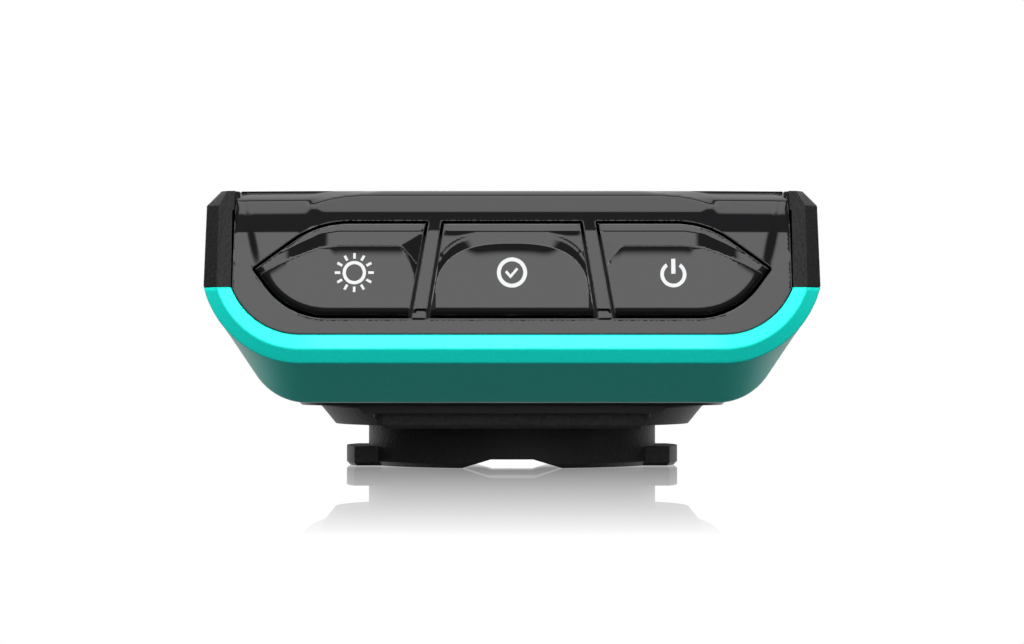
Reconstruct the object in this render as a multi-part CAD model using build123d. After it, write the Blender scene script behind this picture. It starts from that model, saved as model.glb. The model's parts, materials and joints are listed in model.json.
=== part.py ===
from build123d import *
import os
from math import atan2, cos, degrees, radians, sin, tan

os.makedirs("parts", exist_ok=True)

# Frame: origin on the mount's axis, level with the underside of its boss. +Z is up through the
# display, -Y is the rider's end with the three keys, +X is to the right when facing that end.

# ---- body envelope ----
width = 50.8            # over the sides at the split
length = 84.0           # over the two ends
body_z = 6.2            # underside of the lower housing
split_z = 15.75         # joint between lower housing and top bezel
shoulder_z = 22.5       # foot of the top side chamfer
top_z = 23.75           # top face
side_draft = 0.4        # rails lean in by this much between split and shoulder
top_inset = 1.55        # side to top edge
flank_run = 7.7         # side to flat underside
flank_bulge = 1.6       # sagitta of the rounded flank
wall = 1.6

# ---- rider's end ----
lean = 16.0             # the end face leans back at its top
rim_z = 10.7            # foot of the leaning face
facet_start = 16.6      # half width of the middle facet
facet_angle = 11.0      # side facets turn back by this much
bend_radius = 4.0
rim_chamfer = 1.15
corner_in = 8.1         # lower corner centres, in from the sides
corner_z = 18.0
facet_radius = 7.3      # lower corners of the leaning face
belly_angle = 30.0
brow_z = 21.8           # foot of the top front chamfer
brow_angle = 45.0
rear_radius = 9.0
rear_slope = 8.0        # rear face leans forward
rear_belly_angle = 50.0

# ---- front panel and keys ----
panel_t = 1.6
panel_radius = 6.25
panel_half = 22.95
panel_gap = 0.08
ledge_w = 0.9
ledge_t = 1.0
key_top_z = 21.2
key_low_z = 13.18
middle_top_half = 5.79
middle_low_half = 7.05
divider_top = 1.03
divider_low = 1.17
key_tip = (21.45, 17.2)
key_shoulder_x = 15.95
key_heel_x = 18.3
key_shoulder_r = 8.0
key_heel_r = 6.4
key_tip_r = 0.5
key_gap = 0.25
travel = 0.4
flange_gap = 0.15
flange_t = 0.6
flange_w = 0.2
side_key_x = 13.0
key_mark_z = 16.95
scoop_radius = 9.5
scoop_depth = 0.38
mark_t = 0.05
plunger_r = 1.0
plunger_len = 0.3

# ---- key board behind the panel ----
membrane_t = 0.4
switch_button_r = 0.8
switch_button_h = 0.3
switch_size = (3.5, 2.9, 1.2)
board_half = 16.0
key_board_t = 0.8
key_screw_x = 8.0
key_screw_z = 13.9

# ---- glass and display ----
glass_border = 2.9
glass_t = 0.8
glue_t = 0.15
glass_gap = 0.1
window_in = 1.8
display_half = 17.6
display_setback = 12.0  # front of the display from the front of the body
display_length = 49.5
display_t = 2.0
display_gap = 0.1
frame_t = 0.9
leg = 2.0

# ---- base plate, mount and port ----
base_half = 18.4
base_setback = 12.0     # ends of the base plate, in from the ends of the body
base_radius = 5.0
base_low_z = 5.86
base_t = 0.74
base_chamfer = 0.5
gasket_t = 0.15
block_half = 12.5
block_z = 5.2
mount_boss_r = 13.0
mount_tab_r = 15.0
mount_tab_half = 5.0
mount_tab_t = 1.75
mount_neck_z = 3.75
disc_low_r = 16.0
disc_top_r = 17.3
disc_cone_z = 5.35
detent_top = 3.75
detent_low = 8.85
detent_h = 0.8
boss_recess_r = 8.5
boss_recess_h = 1.2
mount_screw_r = 14.4
port_setback = 19.5     # port, and the cover's two ends, behind the front of the body
port_size = (9.0, 3.2)
port_gap = 0.2
port_wall = 0.3
port_depth = 6.4
cover_half = 11.8
cover_setback = (15.0, 24.1)
cover_low_z = 3.85
cover_gap = 0.07
cover_chamfer = 1.03
cover_corner = 1.2

# ---- electronics ----
board_low_z = 14.6
board_t = 1.0
board_setback = (10.4, 5.0)     # front and rear edges, in from the ends of the body
board_inset = 4.0       # sides, in from the sides of the body
screw_inset = (5.1, 16.0)       # case screws, in from the sides and the ends
case_boss_r = 2.5
case_screw_r = 0.8
case_head_r = 1.5
case_head_h = 1.2
case_head_z = 11.2
board_screw_inset = 7.0
board_screw_setback = (34.0, 28.0)
standoff_r = 1.6
board_screw_r = 0.6
battery_half = 15.0
battery_setback = (31.0, 7.0)
battery_t = 5.5
pad_t = 0.3
tiny = 0.05             # running gap between pieces that only lie close

half = width / 2
front = -length / 2
rear = length / 2
port_y = front + port_setback
cover_front, cover_rear = front + cover_setback[0], front + cover_setback[1]
display_front = front + display_setback
display_rear = display_front + display_length
base_length = length - 2 * base_setback
board_front, board_rear = front + board_setback[0], rear - board_setback[1]
board_side = half - board_inset
case_screw = (half - screw_inset[0], rear - screw_inset[1])
board_screw_x = half - board_screw_inset
board_screw_ys = (front + board_screw_setback[0], rear - board_screw_setback[1])
battery_ys = (front + battery_setback[0], rear - battery_setback[1])
lean_up = Vector(0, sin(radians(lean)), cos(radians(lean)))
inward = Vector(0, cos(radians(lean)), -sin(radians(lean)))
face_plane = Plane(origin=(0, front, rim_z), x_dir=(1, 0, 0), z_dir=-inward)


def save(shape, node):
    """Write one piece, with all of its solids, as its own file."""
    solids = shape.solids()
    export_step(solids[0] if len(solids) == 1 else Compound(children=solids), f"parts/{node}.step")


def box(x0, x1, y0, y1, z0, z1):
    """Block between two corners."""
    middle = Location(((x0 + x1) / 2, (y0 + y1) / 2, (z0 + z1) / 2))
    return middle * Box(x1 - x0, y1 - y0, z1 - z0)


def rod(x, y, z0, z1, radius):
    """Upright cylinder between two levels."""
    return Location((x, y, (z0 + z1) / 2)) * Cylinder(radius, z1 - z0)


def shrink(face, inset):
    """Face drawn in by inset, with sharp corners kept."""
    return face if inset == 0 else offset(face, amount=-inset, kind=Kind.INTERSECTION).face()


# ---- envelope: one closed shape that every outer piece is cut from ----
def section_face():
    """Cross-section over the width: flat underside, rounded flanks, drafted rails, top chamfers."""
    low = half - flank_run
    rails = [(half, split_z), (half - side_draft, shoulder_z), (half - top_inset, top_z)]
    with BuildSketch(Plane.XZ) as sketch:
        with BuildLine():
            Line((-low, body_z), (low, body_z))
            SagittaArc((low, body_z), (half, split_z), -flank_bulge)
            Polyline(*rails, *[(-x, z) for x, z in reversed(rails)])
            SagittaArc((-half, split_z), (-low, body_z), -flank_bulge)
        make_face()
    return sketch.sketch.face()


def plan_face(z, tail=0.0):
    """Outline seen from above: three facets in front, round corners behind, longer behind by tail."""
    facet_x = half - rim_chamfer
    facet_y = front + (facet_x - facet_start) * tan(radians(facet_angle))
    side_y = facet_y + 1.6 * rim_chamfer
    end = rear + tail
    right = [(facet_start, front), (facet_x, facet_y), (half, side_y), (half, end)]
    with BuildSketch(Plane.XY.offset(z)) as sketch:
        Polygon(*right, *[(-x, y) for x, y in reversed(right)], align=None)
        fillet(sketch.vertices().filter_by(lambda v: v.Y < front + tiny), bend_radius)
        fillet(sketch.vertices().filter_by(lambda v: v.Y > end - tiny), rear_radius)
    return sketch.sketch.face()


def rim_face(radius, y):
    """Rounded outline of the rider's end, open far above the top."""
    corner_x = half - corner_in
    with BuildSketch(Plane.XZ.offset(-y)) as sketch:
        with Locations((0, corner_z + length)):
            RectangleRounded(2 * (corner_x + radius), 2 * (length + radius), radius)
    return sketch.sketch.face()


def flare(radius, y, angle, inset):
    """Rounded outline that widens towards the rear, joined to a plain block behind it."""
    depth = length / 5
    cone = extrude(shrink(rim_face(radius, y + inset), inset), amount=-depth, taper=-angle)
    return cone + box(-length, length, y + inset + depth - tiny, length, -length, length)


def envelope(inset=0.0):
    """The whole outer shape, or the same shape with every side drawn in by inset."""
    shape = extrude(shrink(section_face(), inset), amount=length, both=True)
    plan = shrink(plan_face(rim_z, length), inset)
    shape &= extrude(plan, amount=length / 2, dir=lean_up) + extrude(plan, amount=length / 2, dir=-lean_up)
    brow_shift = (brow_z - rim_z) * tan(radians(lean))
    brow = shrink(plan_face(brow_z, length).moved(Location((0, brow_shift, 0))), inset)
    steep = Vector(0, sin(radians(brow_angle)), cos(radians(brow_angle)))
    shape &= extrude(brow, amount=length / 2, dir=steep) + extrude(brow, amount=length / 2, dir=-steep)
    plan = shrink(plan_face(rim_z), inset)
    for angle in (rear_slope, -rear_belly_angle):
        tilt = Vector(0, -sin(radians(angle)), cos(radians(angle)))
        shape &= extrude(plan, amount=length / 2, dir=tilt) + extrude(plan, amount=length / 2, dir=-tilt) \
            + box(-length, length, -length, 0, -length, length)
    shape &= flare(facet_radius, front, brow_angle, inset)
    nose = box(-length, length, -length, front + rim_chamfer + inset + tiny / 10, -length, length)
    shape &= flare(facet_radius + rim_chamfer, front + rim_chamfer, belly_angle, inset) + nose
    return shape.solid()


def face_prism(sketch, depth, out=4.0):
    """Sketch on the leaning face, carried square to it from outside the body to a depth."""
    return extrude(sketch, amount=out) + extrude(sketch, amount=-depth)


def on_face(x, z):
    """Point of the leaning face at a given level, in the face's own axes."""
    return (x, (z - rim_z) / cos(radians(lean)))


def sunk(depth):
    """The envelope slid inwards, square to the leaning face."""
    return body.moved(Location(inward * depth))


def panel_sketch(grow=0.0):
    """Outline of the front panel, with round lower corners and an open top."""
    corner = on_face(0, corner_z)[1]
    rise = on_face(0, top_z + 3)[1] - corner
    radius = panel_radius + grow
    outline = Rectangle(2 * (half - corner_in + radius), rise + radius, align=(Align.CENTER, Align.MIN))
    outline = fillet(outline.vertices().group_by(Axis.Y)[0], radius)
    sides = Rectangle(2 * (panel_half + grow), 4 * rise)
    return face_plane * (Location((0, corner - radius)) * outline & sides)


def side_key_sketch(side, gap):
    """Leaf-shaped key: long straight top, pointed outer tip, slanted inner edge."""
    top_in = middle_top_half + divider_top
    low_in = middle_low_half + divider_low
    points = [(top_in, key_top_z), (low_in, key_low_z), (key_heel_x, key_low_z), key_tip,
              (key_shoulder_x, key_top_z)]
    with BuildSketch() as sketch:
        Polygon(*[on_face(side * x, z) for x, z in points], align=None)
        outer = sketch.vertices().sort_by(Axis.X, reverse=side > 0)
        fillet(outer[0], key_tip_r)
        low = sketch.vertices().filter_by(lambda v: abs(v.Y - on_face(0, key_low_z)[1]) < tiny)
        fillet(low.sort_by(Axis.X, reverse=side > 0)[0], key_heel_r)
        top = sketch.vertices().filter_by(lambda v: abs(v.Y - on_face(0, key_top_z)[1]) < tiny)
        fillet(top.sort_by(Axis.X, reverse=side > 0)[0], key_shoulder_r)
    return face_plane * offset(sketch.sketch, amount=-gap, kind=Kind.INTERSECTION)


def middle_key_sketch(side, gap):
    """Middle key: wider at its foot than at its top."""
    right = [(middle_top_half, key_top_z), (middle_low_half, key_low_z)]
    points = [on_face(x, z) for x, z in right + [(-x, z) for x, z in reversed(right)]]
    with BuildSketch() as sketch:
        Polygon(*points, align=None)
    return face_plane * offset(sketch.sketch, amount=-gap, kind=Kind.INTERSECTION)


keys = {
    "light": (-1, -side_key_x, side_key_sketch),
    "ok": (0, 0.0, middle_key_sketch),
    "power": (1, side_key_x, side_key_sketch),
}


# ---- marks printed on the keys ----
def stroke(x0, y0, x1, y1, thick):
    """Straight bar between two points."""
    turn = degrees(atan2(y1 - y0, x1 - x0))
    span = ((x1 - x0) ** 2 + (y1 - y0) ** 2) ** 0.5
    return Location(((x0 + x1) / 2, (y0 + y1) / 2), turn) * Rectangle(span + thick, thick)


def sun_mark():
    """Ring with twelve rays."""
    mark = Circle(0.96) - Circle(0.69)
    for i in range(12):
        mark += Location((0, 0), 30 * i) * Location((1.365, 0)) * Rectangle(0.47, 0.21)
    return mark


def tick_mark():
    """Tick inside a ring."""
    return Circle(1.25) - Circle(0.85) + stroke(-0.5, 0.02, -0.13, -0.38, 0.22) \
        + stroke(-0.13, -0.38, 0.42, 0.28, 0.22)


def power_mark():
    """Ring open at the top, with an upright bar in the opening."""
    ring = Circle(1.07) - Circle(0.77) - Location((0, 1.0)) * Rectangle(1.15, 1.2)
    return ring + Location((0, 0.8)) * Rectangle(0.38, 1.2)


marks = {"light": sun_mark, "ok": tick_mark, "power": power_mark}


# ---- outer pieces ----
def glass_sketch(grow=0.0):
    """Glass outline: the body's plan, drawn in, both at the leaning front and at the rear."""
    shift = (top_z - rim_z) * tan(radians(lean))
    return shrink(plan_face(0), glass_border - grow) \
        & shrink(plan_face(0, length), glass_border - grow).moved(Location((0, shift, 0)))


def glass_slab(z0, z1, grow=0.0):
    return extrude(glass_sketch(grow).moved(Location((0, 0, z0))), amount=z1 - z0)


def case_posts(z0, z1, radius):
    x, y = case_screw
    return [rod(sx * x, sy * y, z0, z1, radius) for sx in (-1, 1) for sy in (-1, 1)]


def front_cut():
    """Opening for the panel: full size down to the panel's back, smaller through the ledge."""
    seat = face_prism(panel_sketch(panel_gap), 8.0) - sunk(panel_t)
    through = face_prism(panel_sketch(-ledge_w), 8.0) & box(-half, half, -length, front + 12, 0, top_z - wall)
    return seat, through


def ledge():
    """Ring behind the panel's edge that the panel is bonded to."""
    ring = sunk(panel_t) - sunk(panel_t + ledge_t)
    ring &= face_prism(panel_sketch(wall), 8.0)
    return ring & envelope(wall / 2) & box(-half, half, -length, front + 12, 0, top_z - wall)


def seal_ring(grow=0.0):
    """Cord in the split, inside the side walls."""
    slope = (split_z - rim_z) * tan(radians(rear_slope))
    outer = shrink(plan_face(0, -slope), 0.75 - grow)
    inner = shrink(plan_face(0, -slope), 1.25 + grow)
    ring = outer - inner
    ring = extrude(ring.moved(Location((0, 0, split_z - 0.3 - grow))), amount=0.6 + 2 * grow)
    return (ring & sunk(wall - grow)) - face_prism(panel_sketch(0.6), 9.0)


def make_shells():
    seat, through = front_cut()
    shell = body - cavity + ledge() - seat - through
    lower = shell & box(-half, half, front, -front, body_z, split_z)
    floor_z = body_z + wall
    for post in case_posts(body_z + 1.0, split_z, case_boss_r):
        lower += post & body
    for y in board_screw_ys:
        for side in (-1, 1):
            lower += rod(side * board_screw_x, y, body_z + 1.0, board_low_z, standoff_r) & body
            lower -= rod(side * board_screw_x, y, board_low_z - 3.5, board_low_z, board_screw_r)
    for side in (-1, 1):
        x = side * key_screw_x
        rib_y = key_depth_y(key_screw_z, rib_depth)
        rib = box(x - 1.5, x + 1.5, rib_y - 1.5, rib_y + 2.2, floor_z - 0.2, split_z - 0.2)
        lower += (rib & sunk(rib_depth) & body)
        lower -= key_screw_shaft(side)
    lower -= base_outline(base_low_z - 1, base_low_z + base_t + gasket_t, tiny)
    for tool in mount_screw_tools(0.0) + case_posts(0, case_head_z, case_head_r + 0.2) \
            + case_posts(0, split_z + 1, case_screw_r):
        lower -= tool
    lower -= port_hole()
    lower -= vent_hole()
    lower -= seal_ring(tiny)
    save(lower, "lower_housing")

    bezel = shell & box(-half, half, front, -front, split_z, top_z)
    for post in case_posts(split_z, top_z - wall + 0.2, case_boss_r - 0.3):
        bezel += post & body
    bezel -= glass_slab(top_z - glass_t - glue_t, top_z + 1, glass_gap)
    bezel -= glass_slab(top_z - 2 * wall, top_z + 1, -window_in)
    for tool in case_posts(0, 20.0, case_screw_r):
        bezel -= tool
    bezel -= seal_ring(tiny)
    save(bezel, "top_bezel")
    save(seal_ring(), "housing_seal")


def make_panel():
    panel = (body & face_prism(panel_sketch(), 8.0)) - sunk(panel_t)
    panel -= glass_slab(top_z - 3, top_z + 1, glass_gap)
    panel &= box(-half, half, front, front + 10, 0, top_z)
    for side, x, sketch in keys.values():
        panel -= face_prism(sketch(side, 0.0), 12.0)
    save(panel, "front_panel")


def make_keys():
    for name, (side, x, sketch) in keys.items():
        crown = (body & face_prism(sketch(side, key_gap), 9.0)) - sunk(panel_t + flange_gap)
        axis_u, axis_v = on_face(x, key_mark_z)
        scoop = face_plane * Location((axis_u, axis_v, scoop_radius - scoop_depth), (0, 90, 0)) \
            * Cylinder(scoop_radius, width)
        crown -= scoop
        flange = sunk(panel_t + flange_gap - tiny) - sunk(panel_t + flange_gap + flange_t)
        flange &= face_prism(sketch(side, -flange_w), 12.0)
        flange_back = panel_t + flange_gap + flange_t
        plunger = face_plane * Location((axis_u, axis_v, -flange_back + 0.25 - plunger_len / 2)) \
            * Cylinder(plunger_r, plunger_len + 0.5)
        cap = crown + flange + plunger
        print_layer = face_prism(face_plane * (Location((axis_u, axis_v)) * marks[name]()), 4.0)
        icon = (crown.moved(Location(inward * -mark_t)) & print_layer) - crown
        save(cap, f"{name}_button")
        save(icon, f"{name}_icon")


def make_glass():
    save(glass_slab(top_z - glass_t, top_z), "display_glass")
    glue = glass_slab(top_z - glass_t - glue_t, top_z - glass_t)
    save(glue - glass_slab(top_z - wall, top_z, -window_in), "glass_adhesive")


# ---- depths behind the leaning face ----
membrane_depth = panel_t + flange_gap + flange_t + plunger_len + travel + tiny
switch_depth = membrane_depth + membrane_t + tiny
key_board_depth = switch_depth + switch_button_h + switch_size[2]
rib_depth = key_board_depth + key_board_t


def key_depth_y(z, depth):
    """Y of a plane parallel to the leaning face, at a level."""
    return front + (z - rim_z) * tan(radians(lean)) + depth / cos(radians(lean))


def face_block(x0, x1, z0, z1, d0, d1):
    """Block between two depths behind the leaning face."""
    u0, v0 = on_face(x0, z0)
    u1, v1 = on_face(x1, z1)
    return face_plane * box(u0, u1, v0, v1, -d1, -d0)


def face_rod(x, z, d0, d1, radius):
    u, v = on_face(x, z)
    return face_plane * rod(u, v, -d1, -d0, radius)


def key_screw_shaft(side):
    return face_rod(side * key_screw_x, key_screw_z, key_board_depth - tiny, rib_depth + 2.0, 0.5)


def make_key_board():
    membrane = face_block(-board_half, board_half, 13.0, 21.0, membrane_depth, membrane_depth + membrane_t)
    save(membrane, "key_membrane")
    board = face_block(-board_half, board_half, 12.8, 21.2, key_board_depth, rib_depth)
    switches = []
    screws = []
    for side, x, sketch in keys.values():
        w, h, t = switch_size
        z = key_mark_z
        spread = h / 2 * cos(radians(lean))
        case = face_block(x - w / 2, x + w / 2, z - spread, z + spread, key_board_depth - t, key_board_depth)
        switches.append(case + face_rod(x, z, switch_depth, key_board_depth - t + tiny, switch_button_r))
    for side in (-1, 1):
        shaft = key_screw_shaft(side)
        board -= shaft
        head = face_rod(side * key_screw_x, key_screw_z, key_board_depth - 0.6, key_board_depth, 1.0)
        screws.append(head + shaft)
    save(board, "key_board")
    save(Compound(children=[s.solid() for s in switches]), "tact_switches")
    save(Compound(children=[s.solid() for s in screws]), "key_board_screws")
    back = key_depth_y(board_low_z + board_t, rib_depth)
    cable_z = board_low_z + board_t
    cable = box(-14.5, -9.5, back - 0.5, board_front + 3, cable_z, cable_z + 0.2)
    save(cable & sunk(rib_depth), "key_cable")


# ---- base plate, mount and port cover ----
def base_outline(z0, z1, grow=0.0):
    outline = RectangleRounded(2 * (base_half + grow), base_length + 2 * grow, base_radius)
    return extrude(Location((0, 0, z0)) * outline, amount=z1 - z0)


def port_hole():
    w, h = port_size
    outline = RectangleRounded(w + 2 * port_gap, h + 2 * port_gap, h / 2)
    return extrude(Location((0, port_y, 0)) * outline, amount=body_z + 2 * wall)


def vent_hole():
    return rod(14.5, -20.0, 0, body_z + wall + 1, 0.6)


def mount_screw_tools(grow):
    """Four screws on the diagonals, as shafts with heads sunk into the mount's disc."""
    tools = []
    for i in range(4):
        x = mount_screw_r * cos(radians(45 + 90 * i))
        y = mount_screw_r * sin(radians(45 + 90 * i))
        tools.append(rod(x, y, mount_neck_z, mount_neck_z + 0.7, 1.1) + rod(x, y, mount_neck_z, 7.4, 0.6))
    return tools


def make_base():
    plate = base_outline(base_low_z, base_low_z + base_t)
    plate = chamfer(plate.faces().sort_by(Axis.Z)[0].edges(), base_chamfer)
    block_front = -base_length / 2 + base_chamfer
    with BuildSketch(Plane.XZ) as sketch:
        step = base_low_z - block_z
        Polygon((-block_half, block_z), (block_half, block_z), (block_half + step, base_low_z),
                (-block_half - step, base_low_z), align=None)
    block = extrude(sketch.sketch, amount=length, both=True)
    block &= box(-half, half, block_front, 0, 0, top_z)
    block -= rod(0, 0, 0, base_low_z, disc_top_r + 0.2)
    plate = plate + block - port_hole() - vent_hole() - anchor(tiny)
    for tool in mount_screw_tools(0.0):
        plate -= tool
    save(plate, "base_plate")
    gasket = base_outline(base_low_z + base_t, base_low_z + base_t + gasket_t)
    gasket = gasket - port_hole() - vent_hole()
    for tool in mount_screw_tools(0.0):
        gasket -= tool
    save(gasket, "base_gasket")


def make_mount():
    boss = rod(0, 0, 0, mount_neck_z + tiny, mount_boss_r)
    boss = chamfer(boss.faces().sort_by(Axis.Z)[0].edges(), 0.4)
    tabs = rod(0, 0, 0, mount_tab_t, mount_tab_r) & box(-half, half, -mount_tab_half, mount_tab_half, 0, top_z)
    tabs = chamfer(tabs.faces().sort_by(Axis.Z)[0].edges(), 0.3)
    cone = Location((0, 0, (mount_neck_z + disc_cone_z) / 2)) \
        * Cone(disc_low_r, disc_top_r, disc_cone_z - mount_neck_z)
    disc = cone + rod(0, 0, disc_cone_z - tiny, base_low_z, disc_top_r)
    mount = boss + tabs + disc - rod(0, 0, 0, boss_recess_h, boss_recess_r)
    with BuildSketch(Plane.XZ) as sketch:
        Polygon((-detent_low / 2, 0), (detent_low / 2, 0), (detent_top / 2, detent_h),
                (-detent_top / 2, detent_h), align=None)
    mount -= extrude(sketch.sketch, amount=mount_tab_r + 1, both=True)
    for tool in mount_screw_tools(0.0):
        mount -= tool
    save(mount, "mount")
    save(Compound(children=[s.solid() for s in mount_screw_tools(0.0)]), "mount_screws")


def anchor(grow=0.0):
    """Rubber foot of the cover's strap, let into the base plate."""
    return box(-8 - grow, 8 + grow, cover_front - 2 - grow, cover_front - 0.2 + grow, block_z, block_z + 0.5)


def make_port():
    top = block_z - cover_gap
    slab = box(-cover_half, cover_half, cover_front, cover_rear, cover_low_z, top)
    slab = fillet(slab.edges().filter_by(Axis.Z).group_by(Axis.Y)[0], cover_corner)
    slab = chamfer(slab.faces().sort_by(Axis.Z)[0].edges().filter_by(Axis.X), 0.3)
    w, h = port_size
    plug_face = RectangleRounded(w - 0.2, h - 0.2, h / 2 - 0.11)
    plug = extrude(Location((0, port_y, top - tiny)) * plug_face, amount=0.6)
    with BuildSketch(Plane.XZ) as sketch:
        reach = cover_half - cover_chamfer
        band = cover_low_z + cover_chamfer
        Polygon((-reach, cover_low_z), (reach, cover_low_z), (cover_half, band), (cover_half, top),
                (-cover_half, top), (-cover_half, band), align=None)
    slab &= extrude(sketch.sketch, amount=length, both=True)
    save(slab + plug, "port_cover")
    save(anchor(), "cover_anchor")
    mouth = base_low_z + 0.1
    outer = extrude(Location((0, port_y, mouth)) * RectangleRounded(w, h, h / 2 - 0.01), amount=port_depth)
    bore = RectangleRounded(w - 2 * port_wall, h - 2 * port_wall, h / 2 - port_wall - 0.01)
    shell = outer - extrude(Location((0, port_y, mouth)) * bore, amount=port_depth - port_wall)
    save(shell, "usb_socket")
    board_z = mouth + port_depth
    save(box(-3.3, 3.3, port_y - 0.35, port_y + 0.35, mouth + 0.7, board_z - port_wall), "usb_tongue")
    save(box(-9, 9, port_y - 5, port_y + 5, board_z, board_z + 0.8), "usb_board")
    save(box(2, 8, port_y + 1, port_y + 3.5, board_z + 0.8, board_low_z), "usb_header")
    vent = rod(14.5, -20.0, body_z + wall, body_z + wall + 0.2, 2.0)
    save(vent, "vent_membrane")


# ---- electronics ----
def make_display():
    top = top_z - wall - display_gap
    low = top - display_t
    save(box(-display_half, display_half, display_front, display_rear, low, top), "display_module")
    frame = box(-display_half, display_half, display_front, display_rear, low - frame_t, low)
    for y in (display_front + 6, (display_front + display_rear) / 2 + 2):
        frame -= box(-display_half + 4, display_half - 4, y, y + 17, 0, top_z)
    for side in (-1, 1):
        for y in (display_front + leg, display_rear - leg):
            x = side * (display_half - leg)
            frame += box(x - leg / 2, x + leg / 2, y - leg / 2, y + leg / 2, board_low_z + board_t, low)
    save(frame, "display_frame")
    foot = board_low_z + board_t
    y = display_front - 0.3
    cable = box(-6, 6, y - 0.2, y, foot, top - 0.5) + box(-6, 6, y - 0.2, display_front, top - 0.7, top - 0.5)
    cable += box(-6, 6, y - 0.2, y + 2, foot, foot + 0.2)
    save(cable, "display_cable")


def make_main_board():
    board = box(-board_side, board_side, board_front, board_rear, board_low_z, board_low_z + board_t)
    board &= envelope(wall + 0.4)
    for post in case_posts(0, top_z, case_boss_r + 0.3):
        board -= post
    screws = []
    for side in (-1, 1):
        for y in board_screw_ys:
            x = side * board_screw_x
            top = board_low_z + board_t
            shaft = rod(x, y, board_low_z - 3.0, top, board_screw_r)
            board -= shaft
            screws.append((shaft + rod(x, y, top, top + 0.7, 1.3)).solid())
    save(board, "main_board")
    save(Compound(children=screws), "board_screws")
    z = board_low_z + board_t
    save(box(-10.5, -1.5, -12.5, -3.5, z, z + 1.1), "processor")
    save(box(5, 11, -15, -10, z, z + 0.9), "flash_memory")
    can = box(-2, 14, -1, 13, z, z + 1.6)
    save(can - box(-1.8, 13.8, -0.8, 12.8, z, z + 1.4), "shield_can")
    antenna_x, antenna_y = case_boss_r + 0.5 - case_screw[0], case_screw[1] - 5.5
    save(box(antenna_x, antenna_x + 15.0, antenna_y, antenna_y + 15.0, z, z + 4.0), "gps_antenna")
    y = port_y - 4.5
    save(box(-14, -9, y, y + 2, z, z + 1.2), "chip_antenna")
    y = board_rear - 8.5
    save(rod(9.5, y, z, z + 3.0, 5.5) - rod(9.5, y, z + 2.4, z + 3.0, 0.8), "buzzer")


def make_battery():
    floor = body_z + wall
    y0, y1 = battery_ys
    cell = box(-battery_half, battery_half, y0, y1, floor + pad_t, floor + pad_t + battery_t)
    save(fillet(cell.edges().filter_by(Axis.Y), 1.2), "battery")
    save(box(-battery_half + 2, battery_half - 2, y0 + 3, y1 - 3, floor, floor + pad_t), "battery_pad")
    save(box(-6, -1, y0 - 5, y0 - 2, board_low_z - 2.2, board_low_z), "battery_connector")
    wires = [Location((x, y0 - 1, board_low_z - 1.5), (90, 0, 0)) * Cylinder(0.45, 2.0) for x in (-4.5, -2.5)]
    save(Compound(children=[w.solid() for w in wires]), "battery_lead")


def make_case_screws():
    x, y = case_screw
    screws = []
    for sx in (-1, 1):
        for sy in (-1, 1):
            head = rod(sx * x, sy * y, case_head_z - case_head_h, case_head_z, case_head_r)
            head -= rod(sx * x, sy * y, case_head_z - case_head_h, case_head_z - case_head_h / 2, 0.7)
            screws.append((head + rod(sx * x, sy * y, case_head_z, 19.8, case_screw_r)).solid())
    save(Compound(children=screws), "case_screws")


body = envelope()
cavity = envelope(wall)
make_shells()
make_panel()
make_keys()
make_glass()
make_key_board()
make_base()
make_mount()
make_port()
make_display()
make_main_board()
make_battery()
make_case_screws()
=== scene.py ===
import bmesh
import bpy
import json
import numpy as np
from math import atan2, cos, pi, radians, sin, tan
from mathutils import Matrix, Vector
from mathutils.geometry import delaunay_2d_cdt


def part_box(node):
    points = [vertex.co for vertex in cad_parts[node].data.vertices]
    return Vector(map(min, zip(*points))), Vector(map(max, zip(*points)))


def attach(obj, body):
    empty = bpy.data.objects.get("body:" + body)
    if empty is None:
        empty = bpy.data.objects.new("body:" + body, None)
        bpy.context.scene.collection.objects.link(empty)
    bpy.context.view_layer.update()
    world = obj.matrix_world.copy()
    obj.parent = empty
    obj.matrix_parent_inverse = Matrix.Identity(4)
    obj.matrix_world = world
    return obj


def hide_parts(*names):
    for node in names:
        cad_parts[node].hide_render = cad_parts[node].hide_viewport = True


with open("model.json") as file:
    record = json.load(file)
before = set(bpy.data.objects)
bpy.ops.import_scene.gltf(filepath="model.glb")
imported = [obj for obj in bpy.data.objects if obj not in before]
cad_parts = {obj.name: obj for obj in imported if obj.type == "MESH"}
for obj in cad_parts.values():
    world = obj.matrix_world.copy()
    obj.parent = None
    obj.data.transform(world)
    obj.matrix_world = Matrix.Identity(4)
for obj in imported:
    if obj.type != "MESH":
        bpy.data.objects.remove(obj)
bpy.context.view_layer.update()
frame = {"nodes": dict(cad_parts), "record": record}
mm = 0.001
print("frame loaded")

# All shapes are worked out in millimetres and written to their meshes in metres.
# Sizes that the CAD pieces already have are read from their boxes.
shellLow, shellHigh = (np.array(c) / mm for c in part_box("lower_housing"))
bezelLow, bezelHigh = (np.array(c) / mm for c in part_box("top_bezel"))

face = {
    "front": shellLow[1],          # foremost line of the leaning face
    "rimZ": 10.7,                  # level of that line
    "lean": 16.0,                  # degrees, top goes back
    "flatHalf": 16.6,              # half width of the middle facet
    "bendHalf": 0.8,               # half width of the bend beside it
    "turn": 11.0,                  # degrees, side facets go back
    "splitZ": shellHigh[2],
    "cornerX": 17.3,
    "cornerZ": 18.0,
}


def smooth(t):
    # rises from 0 to 1 along 3 t^2 - 2 t^3
    t = np.clip(t, 0, 1)
    return t * t * (3 - 2 * t)


def faceY(x, z):
    # depth of the rider's end: straight lean in z, plus a ramp in |x| past the middle facet
    t = np.abs(x) - face["flatHalf"]
    w = face["bendHalf"]
    ramp = np.where(t < -w, 0.0, np.where(t > w, t, (t + w) ** 2 / (4 * w)))
    return face["front"] + ramp * tan(radians(face["turn"])) + (z - face["rimZ"]) * tan(radians(face["lean"]))


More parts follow.
